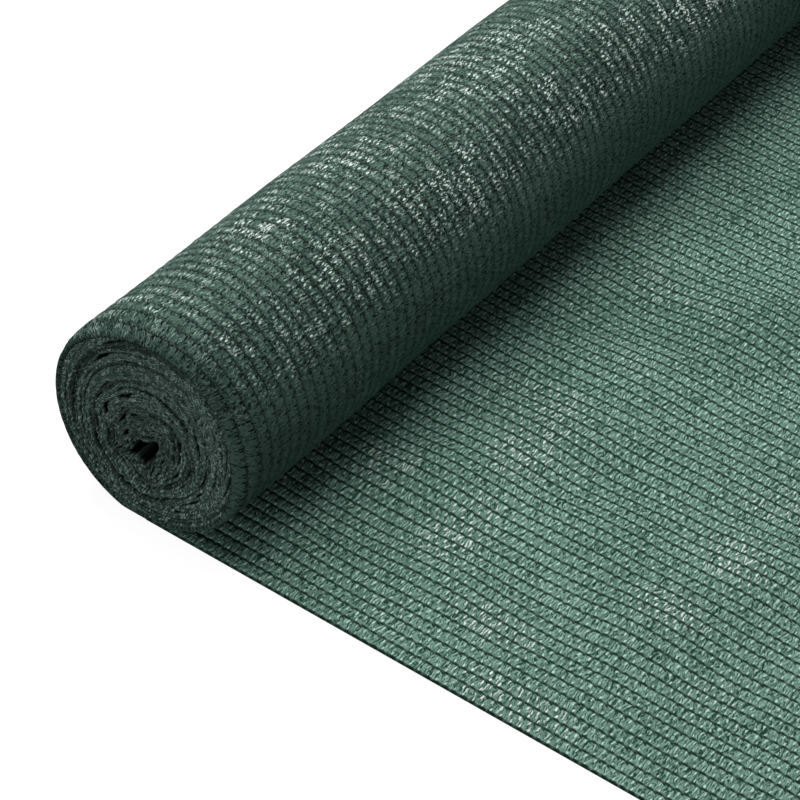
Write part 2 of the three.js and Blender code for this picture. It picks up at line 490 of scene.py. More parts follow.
@dataclass(frozen=True)
class ClothPath:
    """Where each point of the cloth lies: flat on the ground, then once round the roll.

    Fields: the roll and the knit; the rise below which the cloth stays flat and the distance
    from the roll's axis over which puckers may start, in millimetres; how far the knit wanders
    across and along, and how wide the edges are that hold it; the degrees that the outer turn
    goes round, and those over which its rim comes to its full rounding from the least one; how
    much of a quarter turn the rim curls; and how the turn's end clears the loose end under the
    roll: the rise, and the radians turned over which it rises.
    """

    form: RollForm
    knit: Knit
    pucker_floor: float = 1.1
    pucker_clears: Pair = (20, 48)
    row_wander: float = 1.3 * MM
    stitch_wander: float = 0.5 * MM
    edge_hold: float = 30 * MM
    wrap: float = 354
    rim_opens: float = 50
    rim_least: float = 0.05 * MM
    curl: float = 0.72
    nip_rise: float = 0.25 * MM
    nip: Pair = (3.6, 5.2)

    @property
    def round_length(self) -> float:
        """Cloth length of the outer turn that is built, nearly a whole turn."""
        return math.radians(self.wrap) * self.form.radius

    def wander(self, u: Array, v: Array) -> tuple[Array, Array]:
        """How far the knit has been pulled aside.

        Args:
            u: places along the cloth.
            v: places across it.

        Returns:
            The pull along the cloth and across it.
        """
        width = self.form.width
        hold = smooth_step(v, 0, self.edge_hold) * smooth_step(width - v, 0, self.edge_hold)
        broad = SmoothField(21, 55 * MM, 150 * MM).at(u, v * 1.6)
        close = SmoothField(22, 14 * MM, 40 * MM).at(u, v * 0.7)
        aside = self.row_wander * (broad + 0.1 * close) * hold
        ahead = self.stitch_wander * SmoothField(23, 30 * MM, 120 * MM).at(u, v)
        return ahead * smooth_step(u, 0, self.edge_hold), aside

    def ground_lift(self, x: Array, v: Array) -> Array:
        """How high the loose end is lifted.

        Args:
            x: places from the roll's axis.
            v: places across the cloth.

        Returns:
            The lift at each place.
        """
        lifted = sum(pucker.lift(x / MM, v / MM) for pucker in PUCKERS)
        clear = smooth_step(x / MM, *self.pucker_clears)
        return np.maximum(0, lifted - self.pucker_floor) * clear * MM

    def laid(self, u: Array, v: Array) -> Array:
        """Points of the loose end.

        Args:
            u: places along the cloth.
            v: places across it.

        Returns:
            The points, in the middle of the cloth's thickness.
        """
        x = self.form.loose_reach - u
        height = self.knit.thickness / 2 + self.ground_lift(x, v)
        return np.stack([self.form.axis_x + x, self.form.near + v, height], axis=-1)

    def rolled(self, u: Array, v: Array) -> Array:
        """Points of the outer turn, its edges curled in over the rim.

        Args:
            u: places along the cloth.
            v: places across it.

        Returns:
            The points, in the middle of the cloth's thickness.
        """
        form, thickness = self.form, self.knit.thickness
        half = thickness / 2
        turned = np.maximum(u - form.loose_reach, 0) / form.radius
        angle = -math.pi / 2 - turned
        opened = smooth_step(turned, 0, math.radians(self.rim_opens))
        rounding = np.maximum(form.shoulder(angle) * opened, self.rim_least)
        arc = rounding * (math.pi / 2) * self.curl
        from_edge = np.minimum(v, form.width - v)
        bend = np.clip((arc - from_edge) / rounding, 0, None)
        drawn = (arc - rounding) * (1 - 2 * np.minimum(from_edge / form.width, 0.5))
        edge_y = np.where(bend > 0, rounding * (1 - np.sin(bend)), from_edge - drawn)
        y = np.where(v < form.width / 2, form.near + edge_y, form.near + form.width - edge_y)
        radius = form.skin_radius(angle, y) - half - thickness * turned / TAU
        radius = radius - rounding * (1 - np.cos(bend))
        lowest = half + (thickness + self.nip_rise) * smooth_step(turned, *self.nip)
        height = np.maximum(form.axis_z + radius * np.sin(angle), lowest)
        return np.stack([form.axis_x + radius * np.cos(angle), y, height], axis=-1)

    def place(self, u: Array, v: Array) -> Array:
        """Points in the middle of the cloth's thickness, at cloth places u and v."""
        on_roll = (u > self.form.loose_reach)[..., None]
        return np.where(on_roll, self.rolled(u, v), self.laid(u, v))


@dataclass
class Piece(ABC):
    """A mesh piece of the netting, which is built and then dressed."""

    piece: bpy.types.Object | None = field(default=None, init=False)

    @abstractmethod
    def build(self) -> None:
        """Builds the piece's mesh."""

    def dress(self, material: bpy.types.Material) -> None:
        """Gives the piece its finish, and lets it ride with the net and stand for its solid.

        Args:
            material: the finish.
        """
        assert self.piece is not None
        self.piece.data.materials.append(material)
        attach(self.piece, "root")
        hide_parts(NODE)


@dataclass
class ClothPanel(Piece):
    """A closed stretch of the cloth with its knit raised on the face that shows.

    Fields: name, the path it follows, the face that shows, the range of stitches along the
    cloth, the range of stitch rows across it, and how coarse its hidden face is.
    """

    name: str
    path: ClothPath
    face: Face
    stitches: tuple[int, int]
    rows: tuple[int, int]
    back_stitches: int = 3
    back_rows: int = 3

    @property
    def row_pitch(self) -> float:
        """Pitch of the stitch rows, fitted so that a whole number fills the width."""
        width = self.path.form.width
        return width / round(width / self.path.knit.row_pitch)

    @property
    def flat_size(self) -> Pair:
        """Width and length of the cloth in this panel, laid flat."""
        (s0, s1), (r0, r1) = self.stitches, self.rows
        return (r1 - r0) * self.row_pitch, (s1 - s0) * self.path.knit.stitch_pitch

    def surface(self, stitches: Array, rows: Array, raised: bool) -> tuple[Array, Array]:
        """A grid of points on one face of the panel.

        Args:
            stitches: places along the cloth, in stitches.
            rows: places across the cloth, in stitch rows.
            raised: whether this is the face with the raised knit.

        Returns:
            The points and their cloth coordinates, a row of each for every vertex.
        """
        knit = self.path.knit
        s, r = np.meshgrid(stitches, rows, indexing="ij")
        u, v = s * knit.stitch_pitch, r * self.row_pitch
        ahead, aside = self.path.wander(u, v)
        middle = self.path.place(u + ahead, v + aside)
        normal = np.cross(np.gradient(middle, axis=1), np.gradient(middle, axis=0))
        normal /= np.maximum(np.linalg.norm(normal, axis=-1, keepdims=True), 1e-12)
        if raised:
            valley = knit.thickness / 2 - knit.rib_height / 2
            offset = self.face.value * (valley + knit.relief(s, r))
        else:
            offset = np.full(s.shape, -self.face.value * knit.thickness / 2)
        points = middle + normal * offset[..., None]
        points[..., 2] = np.maximum(points[..., 2], 0.0)
        return points.reshape(-1, 3), np.stack([s, r], axis=-1).reshape(-1, 2)

    def places(self) -> tuple[Array, Array, Array, Array]:
        """The grids' places.

        Returns:
            Fine stitches and rows for the face that shows, then coarse ones for the hidden face.
        """
        knit = self.path.knit
        (s0, s1), (r0, r1) = self.stitches, self.rows
        fine_s = np.linspace(s0, s1, (s1 - s0) * knit.steps_per_stitch + 1)
        fine_r = (np.arange(r0, r1)[:, None] + np.array(knit.row_points)[None, :]).ravel()
        fine_r = np.append(fine_r, r1)
        coarse_s = np.unique(np.append(np.arange(s0, s1, self.back_stitches), s1))
        coarse_r = np.unique(np.append(np.arange(r0, r1, self.back_rows), r1))
        return fine_s, fine_r, coarse_s.astype(float), coarse_r.astype(float)

    def build(self) -> None:
        """Builds the panel's closed mesh: its two faces and the four rims between them."""
        fine_s, fine_r, coarse_s, coarse_r = self.places()
        over, over_uv = self.surface(fine_s, fine_r, True)
        under, under_uv = self.surface(coarse_s, coarse_r, False)
        flip = self.face is Face.BACK
        faces = grid_quads(len(fine_s), len(fine_r), 0, flip)
        faces += grid_quads(len(coarse_s), len(coarse_r), len(over), not flip)
        top = np.arange(len(over)).reshape(len(fine_s), len(fine_r))
        base = len(over) + np.arange(len(under)).reshape(len(coarse_s), len(coarse_r))
        for fine, coarse, places, turn in (
            (top[:, 0], base[:, 0], (fine_s, coarse_s), True),
            (top[:, -1], base[:, -1], (fine_s, coarse_s), False),
            (top[0], base[0], (fine_r, coarse_r), False),
            (top[-1], base[-1], (fine_r, coarse_r), True),
        ):
            faces += zip_rims(fine, places[0], coarse, places[1], turn != flip)
        points, uv = np.concatenate([over, under]), np.concatenate([over_uv, under_uv])
        self.piece = add_mesh(self.name, points, faces, uv)


@dataclass
class WoundEnd(Piece):
    """The edges of the wound turns at one end of the roll, one long ribbon wound inwards.

    Fields: the roll and its end; how many turns there are, the step along them, how deep the
    ribbon is, how deep the painted light reaches between turns, and the ribbon's thickness as a
    share of its room. Then how far the turns lie under the skin and draw back under its curl; how
    uneven and crumpled they are; how their edges stand, by waves, grain, bundles of turns and
    single turns; how much painted shade some turns, the middle and the ribbon's corners get, and
    how much painted light falls into the hollow to take it off; and the slits and pockets where
    turns part.
    """

    form: RollForm
    end: End
    turns: int = 34
    step: float = 0.62 * MM
    depth: float = 19 * MM
    gap_fade: float = 1.7 * MM
    fill: float = 1.16
    under_skin: float = 2.4 * MM
    under_curl: float = 1.5 * MM
    uneven: float = 0.3 * MM
    crumple: float = 1.0 * MM
    edge_wave: float = 0.45 * MM
    edge_grain: float = 0.45 * MM
    bundle: float = 1.0 * MM
    turn_jump: float = 0.4 * MM
    # painted shade of some turns, of the middle and of the ribbon's corners, and painted light from the
    # hollow
    ring_shade: float = 0.65
    middle_shade: float = 0.35
    corner_shade: float = 0.1
    hollow_light: float = 0.8
    lowest: float = 0.3 * MM
    slits: tuple[Crease, ...] = (
        Crease(213, 10.0 * MM, 4.5),
        Crease(281, 3.5 * MM, 8),
    )
    slit_fade: Pair = (0.0, 0.42)
    pockets: tuple[Pocket, ...] = (
        Pocket(120, 5.6, 2.4, 62, (-16.1, -7.6), 4.0),
        Pocket(95, 9.4, 0.9, 90, (-13.8, -0.8), 4.0),
        Pocket(10, 21.0, 0.9, 60, (-10.7, -13.2)),
        Pocket(10, 24.7, 1.0, 58, (-2.9, -11.0)),
        Pocket(108, 20.7, 0.9, 60, (-11.1, 0.7)),
        Pocket(105, 24.4, 0.7, 55, (-10.2, 2.8)),
        Pocket(195, 31.3, 0.7, 60, (0.6, -6.0)),
        Pocket(-70, 30.0, 0.6, 44),
        Pocket(270, 3.0, 1.4, 100, (-1.9, -24.1), 3.0),
    )

    @property
    def edge(self) -> float:
        """Y of the net's edge at this end."""
        return self.form.near if self.end is End.NEAR else self.form.near + self.form.width

    @property
    def seed(self) -> int:
        """The first seed of this end's draws."""
        return 40 + self.end.value

    def path(self) -> tuple[Array, Array, Array]:
        """The ribbon's way, wound inwards in even steps.

        Returns:
            The turns wound, the angle round the axis and the share from the hollow to the skin.
        """
        draft = np.linspace(0, 1, 4001)
        radius = lerp(self.form.radius, self.form.hollow_radius, draft)
        length = np.concatenate([[0], np.cumsum((radius[1:] + radius[:-1]) / 2)])
        length *= TAU * self.turns / (len(draft) - 1)
        steps = int(length[-1] / self.step)
        wound = np.interp(np.linspace(0, length[-1], steps + 1), length, draft)
        return self.turns * wound, -math.pi / 2 - TAU * self.turns * wound, 1 - wound * 0.995

    def lay(self, turn: Array, angle: Array, share: Array, ray: Array) -> Array:
        """The middle of the ribbon's thickness, crumpled, and parted by the slits and pockets.

        Args:
            turn: the turns wound.
            angle: angles round the axis.
            share: places from the hollow to the skin.
            ray: directions out from the axis.

        Returns:
            The points, one row each.
        """
        form, seed = self.form, self.seed
        slit = sum((slit.at(angle) for slit in self.slits), np.zeros_like(angle))
        slit = slit * (1 - smooth_step(share, *self.slit_fade))
        crumple = self.crumple * SmoothField(seed, 0.6, 2.4, 24).at(angle * 1.4, share * 9)
        crumple = crumple * smooth_step(share, 0.85, 0.05)
        uneven = self.uneven * SmoothField(seed + 1, 1.2, 4.0, 24).at(angle * 1.1, turn * 2.6)
        middle = form.wound(share, angle, self.edge, self.under_skin)
        middle += ray * (slit + crumple + uneven)[:, None]
        for pocket in self.pockets:
            x, z = (middle[:, 0] - form.axis_x) / MM, (middle[:, 2] - form.axis_z) / MM
            dx, dz = pocket.push(x, z)
            middle[:, 0] += dx * MM
            middle[:, 2] += dz * MM
        return middle

    def inset(self, turn: Array, angle: Array, share: Array, below: Array) -> Array:
        """How far the ribbon's edge lies inside the net's edge.

        Args:
            turn: the turns wound.
            angle: angles round the axis.
            share: places from the hollow to the skin.
            below: how far the ribbon lies below the skin.

        Returns:
            The inset at each step.
        """
        form, seed = self.form, self.seed
        inset = form.face_inset(share, angle)
        inset = inset + form.shoulder_inset(np.maximum(below - self.under_skin, 0), angle)
        inset = inset + self.under_curl * smooth_step(below / form.shoulder(angle), 0.8, 0.55)
        bundles = SmoothField(seed + 2, 2.2, 7.0).at(angle * 0.9, turn * 0.8)
        inset = inset + self.bundle * (0.6 + bundles) * smooth_step(share, 1.0, 0.8)
        inset = inset + self.edge_wave * SmoothField(seed + 4, 1.0, 4.0).at(angle * 1.2, turn * 0.8)
        grain = SmoothField(seed + 8, 1.3, 3.6, 30).at(angle * 24, turn * 5.1)
        inset = inset + self.edge_grain * grain
        jumps = np.random.default_rng(seed).uniform(0, self.turn_jump, self.turns + 2)
        return inset + np.interp(turn, np.arange(self.turns + 2), jumps)

    def shadows(self, turn: Array, angle: Array, share: Array) -> tuple[Array, Array]:
        """The painted shade that varies along the ribbon.

        Args:
            turn: the turns wound.
            angle: angles round the axis.
            share: places from the hollow to the skin.

        Returns:
            How much painted shade each place gets at least, and how much painted light its inner
            side gets from the hollow.
        """
        # painted shade: more towards the hollow, and in rings of turns
        middle = self.middle_shade * (1 - smooth_step(share, 0.05, 0.5))
        rings = SmoothField(self.seed + 9, 2.4, 5.0, 24).at(angle * 0.5, turn)
        dark = np.maximum(middle, self.ring_shade * smooth_step(rings, 0.1, 0.5))
        return dark, self.hollow_light * (1 - smooth_step(share, 0.02, 0.04))

    def build(self) -> None:
        """Builds the ribbon: its two sides and the rounded edge between them."""
        form, edge = self.form, self.edge
        turn, angle, share = self.path()
        ray = np.stack([np.cos(angle), np.zeros_like(angle), np.sin(angle)], axis=-1)
        middle = self.lay(turn, angle, share, ray)
        skin = form.wound(np.ones_like(angle), angle, edge)
        room = np.linalg.norm(skin - form.wound(np.zeros_like(angle), angle, edge), axis=-1)
        half = 0.5 * self.fill * room / self.turns
        below = np.linalg.norm((skin - middle)[:, (0, 2)], axis=-1)
        inset = self.inset(turn, angle, share, below)
        dark, light = self.shadows(turn, angle, share)
        # painted shade of each line of the section: full deep in the gaps, a little at the corners, none
        # on the edge
        flank = (
            (np.full_like(inset, self.depth), 1.0),
            (inset + self.gap_fade, 1.0),
            (inset + 0.5 * half, self.corner_shade),
        )
        section = [(1, *row) for row in flank] + [(0, inset, 0.0)]
        section += [(-1, *row) for row in reversed(flank)]
        points, uvs, painted_shades = [], [], []
        for outward, deep, shadow in section:
            point = middle + ray * (outward * half)[:, None]
            point[:, 1] = edge - self.end.value * np.clip(deep, 0.1 * MM, self.depth)
            point[:, 2] = np.maximum(point[:, 2], self.lowest)
            points.append(point)
            uv = np.stack([point[:, 0] - form.axis_x, point[:, 2] + outward * half], axis=-1)
            uvs.append(uv / MM)
            # painted shade, less on the inner side where the hollow's painted light falls
            painted_shades.append(np.maximum(shadow, dark) * (1 - (light if outward < 0 else 0.0)))
        self.piece = add_mesh(
            f"wound_turns_{self.end.name.lower()}",
            np.stack(points, axis=1).reshape(-1, 3),
            grid_quads(len(angle), len(section), 0, self.end is End.FAR),
            np.stack(uvs, axis=1).reshape(-1, 2),
            np.stack(painted_shades, axis=1).ravel(),
        )


@dataclass
class WoundBody(Piece):
    """The inside of the roll: what lies behind the turns' edges and round the hollow.

    Fields: the roll; the steps round it, out over an end and along it; how far its ends lie
    inside the net's edges, how far it stays under the skin and over the ground; and how many
    waves of its weave go to a radian round it and to a step along it.
    """

    form: RollForm
    steps_round: int = 96
    steps_out: int = 5
    steps_along: int = 14
    inside_end: float = 16 * MM
    under_skin: float = 1.9 * MM
    lowest: float = 2.2 * MM
    weave: Pair = (8.0, 3.0)

    def build(self) -> None:
        """Builds a closed tube with thick walls, its bore the hollow."""
        angle = np.arange(self.steps_round) / self.steps_round * TAU
        low = self.form.near + self.inside_end
        high = self.form.near + self.form.width - self.inside_end
        out, along = self.steps_out, self.steps_along
        stations = [(share, low) for share in np.linspace(0, 1, out)]
        stations += [(1.0, y) for y in np.linspace(low, high, along)[1:-1]]
        stations += [(share, high) for share in np.linspace(1, 0, out)]
        stations += [(0.0, y) for y in np.linspace(high, low, along)[1:-1]]
        rows = []
        for share, y in stations:
            shares, places = np.full_like(angle, share), np.full_like(angle, y)
            row = self.form.wound(shares, angle, places, self.under_skin)
            row[:, 2] = np.maximum(row[:, 2], self.lowest)
            rows.append(row)
        here = np.arange(len(rows) * self.steps_round).reshape(len(rows), -1)
        ahead = np.roll(here, -1, axis=0)
        corners = [here, ahead, np.roll(ahead, -1, axis=1), np.roll(here, -1, axis=1)]
        faces = np.stack([corner.ravel() for corner in corners], axis=1).tolist()
        uv = np.tile(np.stack([angle * self.weave[0], angle * 0], axis=-1), (len(rows), 1))
        uv[:, 1] = np.repeat(np.arange(len(rows)), self.steps_round) * self.weave[1]
        self.piece = add_mesh("wound_body", np.concatenate(rows), faces, uv)


def shade(colour: Colour) -> tuple[float, float, float, float]:
    """A linear colour with its alpha, from display values of 0 to 255."""
    linear = [((c / 255 + 0.055) / 1.055) ** 2.4 if c > 10 else c / 255 / 12.92 for c in colour]
    return (*linear, 1.0)


class Value:
    """A number or vector socket of a shader, with Python's operators adding its Math nodes."""

    def __init__(self, sketch: ShaderSketch, socket: bpy.types.NodeSocket) -> None:
        """Wraps a socket of the sketch."""
        self.sketch, self.socket = sketch, socket

    def _math(self, operation: str, *others: Any, clamp: bool = False) -> Value:
        """One Math node on this value and the others."""
        inputs = dict(enumerate((self, *others)))
        return self.sketch.value("ShaderNodeMath", {"operation": operation, "use_clamp": clamp}, inputs)

    def __add__(self, other: Any) -> Value:
        """Self plus other."""
        return self._math("ADD", other)

    __radd__ = __add__

    def __sub__(self, other: Any) -> Value:
        """Self minus other."""
        return self._math("SUBTRACT", other)

    def __rsub__(self, other: Any) -> Value:
        """Other minus self."""
        return self * -1 + other

    def __mul__(self, other: Any) -> Value:
        """Self times other."""
        return self._math("MULTIPLY", other)

    __rmul__ = __mul__

    def fract(self) -> Value:
        """The fraction over the whole number below."""
        return self._math("FRACT")

    def floor(self) -> Value:
        """The whole number below."""
        return self._math("FLOOR")

    def abs(self) -> Value:
        """The size without its sign."""
        return self._math("ABSOLUTE")

    def most(self, other: Any) -> Value:
        """The higher of self and other."""
        return self._math("MAXIMUM", other)

    def clamp(self) -> Value:
        """Self held between 0 and 1."""
        return self._math("ADD", 0.0, clamp=True)

    def from_whole(self) -> Value:
        """The distance to the nearest whole number, from 0 to a half."""
        return ((self + 0.5).fract() - 0.5).abs()

    def step(self, low: float, high: float) -> Value:
        """A soft step from 0 at low to 1 at high; low may be above high."""
        inputs = {"Value": self, "From Min": low, "From Max": high, "To Min": 0.0, "To Max": 1.0}
        return self.sketch.value("ShaderNodeMapRange", {"interpolation_type": "SMOOTHSTEP"}, inputs)


class ShaderSketch:
    """A material's node tree, written as expressions."""

    def __init__(self, name: str) -> None:
        """Starts a material with an empty tree.

        Args:
            name: the material's name.
        """
        self.material = bpy.data.materials.new(name)
        self.material.use_nodes = True
        self.tree = self.material.node_tree
        self.tree.nodes.clear()

    def node(self, kind: str, settings: dict[str, Any], inputs: dict[Any, Any]) -> bpy.types.Node:
        """Adds a node.

        Args:
            kind: the node's type.
            settings: its properties, set first.
            inputs: values or links of its sockets, by name or number.

        Returns:
            The node.
        """
        made = self.tree.nodes.new(kind)
        for key, value in settings.items():
            setattr(made, key, value)
        for key, value in inputs.items():
            if isinstance(value, Value):
                self.tree.links.new(value.socket, made.inputs[key])
            else:
                made.inputs[key].default_value = value
        return made

    def value(
        self, kind: str, settings: dict[str, Any], inputs: dict[Any, Any], output: Any = 0
    ) -> Value:
        """One output of a new node, by name or number, the rest as in node."""
        return Value(self, self.node(kind, settings, inputs).outputs[output])

    def cloth(self) -> tuple[Value, Value]:
        """The cloth coordinates.

        Returns:
            The stitches along the cloth and the rows across it.
        """
        place = self.value("ShaderNodeUVMap", {"uv_map": UV_MAP}, {})
        parts = self.node("ShaderNodeSeparateXYZ", {}, {0: place})
        return Value(self, parts.outputs[0]), Value(self, parts.outputs[1])

    def vector(self, x: Any, y: Any, z: Any = 0.0) -> Value:
        """A vector from its parts."""
        return self.value("ShaderNodeCombineXYZ", {}, {0: x, 1: y, 2: z})

    def painted_gap_shade(self) -> Value:
        """How much painted shade the surface gets, from 0 to 1, most deep in the gaps between turns."""
        settings = {"attribute_type": "GEOMETRY", "attribute_name": PAINTED_SHADE}
        return self.value("ShaderNodeAttribute", settings, {}, "Fac")

    def noise(
        self,
        along: Value,
        across: Value,
        waves: Pair,
        seed: float = 0.0,
        detail: float = 1.0,
        rough: float = 0.5,
    ) -> Value:
        """Smooth noise over the cloth.

        Args:
            along: place along the cloth.
            across: place across it.
            waves: how many waves there are to a unit of each.
            seed: tells this noise from others.
            detail: how many finer noises are added.
            rough: how strong those are.

        Returns:
            The noise, from 0 to 1.
        """
        place = self.vector(along * waves[0], across * waves[1], seed)
        inputs = {"Vector": place, "Scale": 1.0, "Detail": detail, "Roughness": rough}
        return self.value("ShaderNodeTexNoise", {}, inputs)

    def scatter(self, x: Any, y: Any, z: Any = 0.0) -> Value:
        """A number from 0 to 1 drawn anew at each place."""
        return self.value("ShaderNodeTexWhiteNoise", {}, {"Vector": self.vector(x, y, z)})

    def dashes(self, across: Value, along: Value, seed: float, size: Pair) -> tuple[Value, Value, Value]:
        """Short strokes in lanes, each with a shadow along one side.

        Args:
            across: place across the lanes, one lane a unit.
            along: place along the lanes, one stroke a unit.
            seed: tells this set from others.
            size: a stroke's width and length as shares of its lane and its unit.

        Returns:
            The strokes' mask, a number from 0 to 1 drawn for each stroke, and the shadows' mask.
        """
        width, length = size
        lane = across.floor()
        place = along + self.scatter(lane, seed)
        draw = self.scatter(lane, place.floor(), seed + 1.0)
        side = (across.fract() - 0.4).abs().step(width / 2 + 0.1, width / 2 - 0.1)
        shadow = (across.fract() - 0.85).abs().step(0.2, 0.06)
        end = (place.fract() - 0.5).abs().step(length / 2 + 0.08, length / 2 - 0.08)
        return side * end, draw, shadow * end

    def repeat(
        self, along: Value, across: Value, knit: Knit, marks: Sequence[Mark], seed: float
    ) -> Value:
        """The strongest of one stitch's marks, whose seeds count up from this one."""
        spots = (mark.at(self, along, across, knit, seed + i) for i, mark in enumerate(marks))
        return reduce(Value.most, spots)

    def coats(self, under: Colour, *coats: tuple[Value, Colour]) -> Value:
        """A colour with coats of others over it.

        Args:
            under: the lowest colour.
            coats: for each coat, how far it covers, held between 0 and 1, and its colour.

        Returns:
            The colour that shows.
        """
        showing: Any = shade(under)
        for cover, colour in coats:
            inputs = {0: cover, 6: showing, 7: shade(colour)}
            showing = self.value("ShaderNodeMix", {"data_type": "RGBA"}, inputs, 2)
        return showing

    def finish(self, fixed: dict[str, Any], varied: dict[str, Any]) -> bpy.types.Material:
        """Ends the tree in a Principled shader.

        Args:
            fixed: numbers and colours that are the same all over.
            varied: links for what changes over the surface.

        Returns:
            The material.
        """
        shader = self.node("ShaderNodeBsdfPrincipled", {}, {**fixed, **varied})
        out = self.node("ShaderNodeOutputMaterial", {}, {})
        self.tree.links.new(shader.outputs[0], out.inputs[0])
        return self.material

    def finish_cloth(
        self, gloss: float, colour: Value, roughness: Value, height: Value, bump: Pair
    ) -> bpy.types.Material:
        """Ends the tree in a cloth's shader.

        Args:
            gloss: its specular level.
            colour: its base colour.
            roughness: its roughness.
            height: what raises it.
            bump: how far a height of 1 raises it, and how strongly that shows.

        Returns:
            The material.
        """
        reach, strength = bump
        inputs = {"Height": height, "Distance": reach, "Strength": strength}
        normal = self.value("ShaderNodeBump", {}, inputs)
        varied = {"Base Color": colour, "Roughness": roughness, "Normal": normal}
        return self.finish({"Specular IOR Level": gloss, "IOR": 1.5}, varied)


@dataclass(frozen=True)
class Stray:
    """How far the knit's marks stray from their even places.

    Fields: waves to a stitch and to a row of the slow and of the quick straying, and how far
    each of the two moves the rows, in rows, and the stitches, in stitches.
    """

    slow_waves: Pair
    quick_waves: Pair
    rows: Pair
    stitches: Pair

    def at(self, sketch: ShaderSketch, along: Value, across: Value) -> tuple[Value, ...]:
        """The strayed places.

        Args:
            sketch: the material.
            along: even place along the cloth, in stitches.
            across: even place across it, in rows.

        Returns:
            The strayed stitch and row, and two quick noises about 0.
        """
        wobble = sketch.noise(along, across, self.slow_waves) - 0.5
        quiver = sketch.noise(along, across, self.quick_waves, 4.0) - 0.5
        shiver = sketch.noise(along, across, self.quick_waves, 14.0) - 0.5
        row = across + wobble * self.rows[0] + quiver * self.rows[1]
        stitch = along + wobble * self.stitches[0] + shiver * self.stitches[1]
        return stitch, row, quiver, shiver


@dataclass(frozen=True)
class Strands:
    """Strands of tape that cross a row of stitches side by side, each with a shadow beside it.

    Fields: how many there are to a stitch, how far they lean over a row and a noise sways them,
    in strands, and a seed; where in the row they start and how far that varies, the same for
    their ends, and a strand's share of its lane.
    """

    pitch: float
    lean: float
    sway: float
    seed: float
    start: Pair
    end: Pair
    wide: float
    row_shift: float = 9.0

    def over(
        self, sketch: ShaderSketch, stitch: Value, row: Value, sway: Value
    ) -> tuple[Value, Value, Value]:
        """The strands over the cloth.

        Args:
            sketch: the material.
            stitch: place along the cloth, in stitches.
            row: place across it, in rows.
            sway: the noise that sways them.

        Returns:
            The strands' mask, a number from 0 to 1 drawn for each, and the shadows' mask.
        """
        up, course = row.fract(), row.floor()
        place = stitch * self.pitch
        if self.lean:
            place = place - up * self.lean
        place = place + sway * self.sway + sketch.scatter(course, self.seed) * self.row_shift
        lane = place.floor()
        draw = sketch.scatter(lane, course, self.seed + 1.0)
        first = sketch.scatter(lane, course, self.seed + 2.0) * self.start[1]
        last = sketch.scatter(lane, course, self.seed + 3.0) * self.end[1]
        span = (up - first).step(self.start[0] - 0.05, self.start[0] + 0.06)
        span = span * (up + last).step(self.end[0] + 0.05, self.end[0] - 0.06)
        side = (place.fract() - 0.4).abs().step(self.wide / 2 + 0.12, self.wide / 2 - 0.1)
        shadow = (place.fract() - 0.86).abs().step(0.22, 0.06)
        return side * span, draw, shadow * span


@dataclass(frozen=True)
class Mark:
    """A pale or dark spot of the knit's repeat; a pale one is partly painted highlight.

    Fields: its place along the stitch, towards the cut end, and across the row, as shares; its
    half length and half width in millimetres; its turn in degrees from straight across the row
    towards the cut end; and its strength.
    """

    along: float
    across: float
    length: float
    width: float
    turn: float = 0.0
    strength: float = 1.0

    def at(self, sketch: ShaderSketch, along: Value, across: Value, knit: Knit, seed: float) -> Value:
        """The mark over the cloth.

        Args:
            sketch: the material.
            along: place along the cloth, in stitches.
            across: place across it, in rows.
            knit: the knit's sizes.
            seed: tells this mark's draws from others.

        Returns:
            The mark's strength, drawn anew in each repeat.
        """
        down = along * -1 - self.along + 0.5
        side = across - self.across + 0.5
        draw = sketch.scatter(down.floor(), side.floor(), seed)
        dy = (down.fract() - 0.5) * (knit.stitch_pitch / MM)
        dx = (side.fract() - 0.5) * (knit.row_pitch / MM)
        turned, turn = math.cos(math.radians(self.turn)), math.sin(math.radians(self.turn))
        lengthways = (dx * turned + dy * turn) * (1 / self.length)
        sideways = (dy * turned - dx * turn) * (1 / self.width)
        spot = (lengthways * lengthways + sideways * sideways).step(1.7, 0.25)
        return spot * (draw * 0.7 + 0.6) * self.strength


@dataclass(frozen=True)
class PaintedSheen:
    """A patch of the loose end painted paler, as painted sheen where the cloth would catch the light.

    Fields: its place from the roll's axis and from the near edge, and its half lengths along
    and across the cloth, in millimetres.
    """

    x: float
    y: float
    along: float
    across: float

    def at(self, along: Value, across: Value, form: RollForm, knit: Knit) -> Value:
        """The patch over the cloth.

        Args:
            along: place along the cloth, in stitches.
            across: place across it, in rows.
            form: the roll's form.
            knit: the knit's sizes.

        Returns:
            The patch's strength, from 0 to 1.
        """
        stitch, row = knit.stitch_pitch, knit.row_pitch
        u = (along - (form.loose_reach - self.x * MM) / stitch) * (stitch / (self.along * MM))
        v = (across - self.y * MM / row) * (row / (self.across * MM))
        return (u * u + v * v).step(1.0, 0.0)


